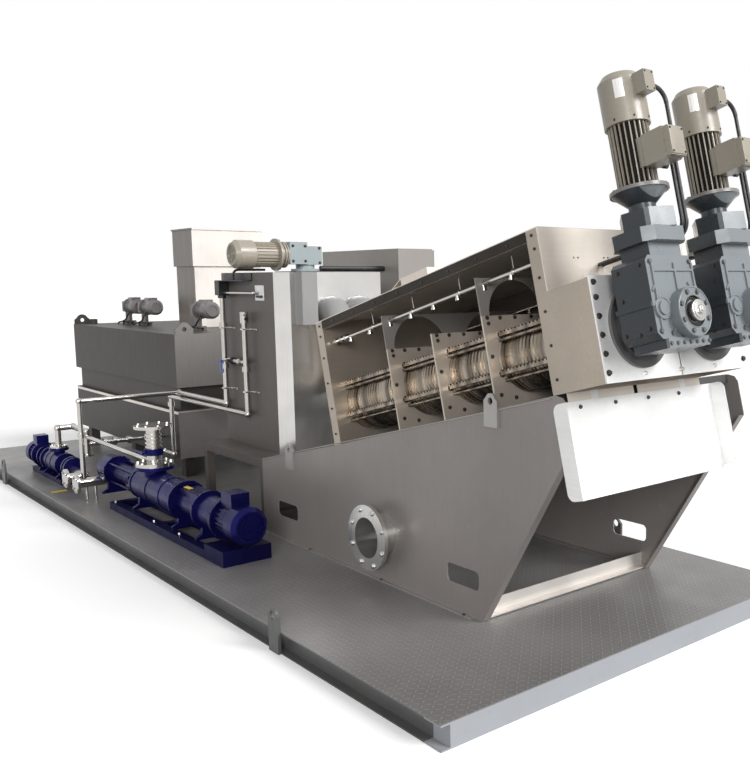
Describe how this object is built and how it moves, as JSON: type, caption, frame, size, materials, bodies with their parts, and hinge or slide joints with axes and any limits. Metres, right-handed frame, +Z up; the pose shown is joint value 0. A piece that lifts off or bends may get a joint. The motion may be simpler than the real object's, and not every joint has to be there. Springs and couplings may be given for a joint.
{
  "type": "multi-disc screw press",
  "caption": "Skid-mounted multi-disc screw press for sludge: inclined ring stacks with screws and gear drives, flocculation tank, polymer tank, pumps and pipework.",
  "frame": {"origin": "centre of the object's extent along and across the skid, at the underside of the skid frame", "axes": "+X along the skid to the discharge end, +Y across to the side away from the pumps, +Z up"},
  "size_m": [7.5258, 2.29, 2.4513],
  "materials": {
    "cable_black": "black cable sheath",
    "cast_grey": "grey cast plate",
    "deck_plate": "glossy dark grey checker plate",
    "gear_light": "satin light blue-grey paint",
    "gear_slate": "satin slate paint",
    "motor_beige": "satin beige-grey paint",
    "panel_grey": "matt mid grey",
    "pipe_grey": "matt grey pipe",
    "pump_base": "dark paint",
    "pump_blue": "glossy deep blue paint",
    "ring_bright": "ground, bright",
    "ring_steel": "ground",
    "skid_grey": "satin grey paint",
    "stainless": "brushed, bright",
    "stainless_warm": "brushed, warm reflections",
    "tray_dark": "dark satin"
  },
  "bodies": {
    "root": {"skid_frame": "skid_grey", "deck_plate": "deck_plate", "skid_lugs": "skid_grey", "press_panel_near": "panel_grey", "press_panel_far": "panel_grey", "base_bars": "stainless", "filtrate_tray": "tray_dark", "drain_stub": "stainless", "press_lugs": "panel_grey", "casing_frame": "stainless_warm", "casing_roof": "stainless_warm", "casing_far_side": "stainless_warm", "casing_front": "stainless", "partition_plates": "stainless_warm", "roof_brackets": "panel_grey", "ring_stack_near": "ring_steel", "ring_stack_far": "ring_steel", "moving_rings_near": "ring_bright", "moving_rings_far": "ring_bright", "spray_pipes": "stainless", "discharge_boxes": "stainless_warm", "discharge_chute": "stainless", "mounting_plates": "stainless", "gear_unit_near": "gear_slate", "gear_unit_far": "gear_slate", "drive_motor_near": "motor_beige", "drive_motor_far": "motor_beige", "floc_stand": "panel_grey", "floc_tank": "panel_grey", "floc_roof": "panel_grey", "floc_drive": "motor_beige", "feed_elbows": "pipe_grey", "poly_feet": "panel_grey", "poly_tank_lower": "panel_grey", "poly_tank_upper": "panel_grey", "poly_roof": "panel_grey", "agitator_drives": "motor_beige", "powder_hopper": "stainless_warm", "control_cabinet": "panel_grey", "drive_cables": "cable_black", "bearing_discs": "cast_grey", "stirrer_gear": "gear_light", "dosing_valves": "cable_black", "feed_legs": "stainless", "pump_near": "pump_blue", "pump_near_motor": "pump_blue", "pump_far": "pump_blue", "pump_bases": "pump_base", "port_valve": "pump_blue", "manifold": "stainless", "dosing_pipes": "stainless"},
    "screw_near_body": {"screw_near": "ring_steel"},
    "screw_far_body": {"screw_far": "ring_steel"}
  },
  "joints": [
    {"name": "screw_near_turn", "type": "hinge", "parent": "root", "child": "screw_near_body", "pos_m": [2.23229, -0.174, 1.16376], "axis": [0.9703, 0, 0.2419], "continuous": true},
    {"name": "screw_far_turn", "type": "hinge", "parent": "root", "child": "screw_far_body", "pos_m": [2.23229, 0.284, 1.16376], "axis": [0.9703, 0, 0.2419], "continuous": true}
  ]
}
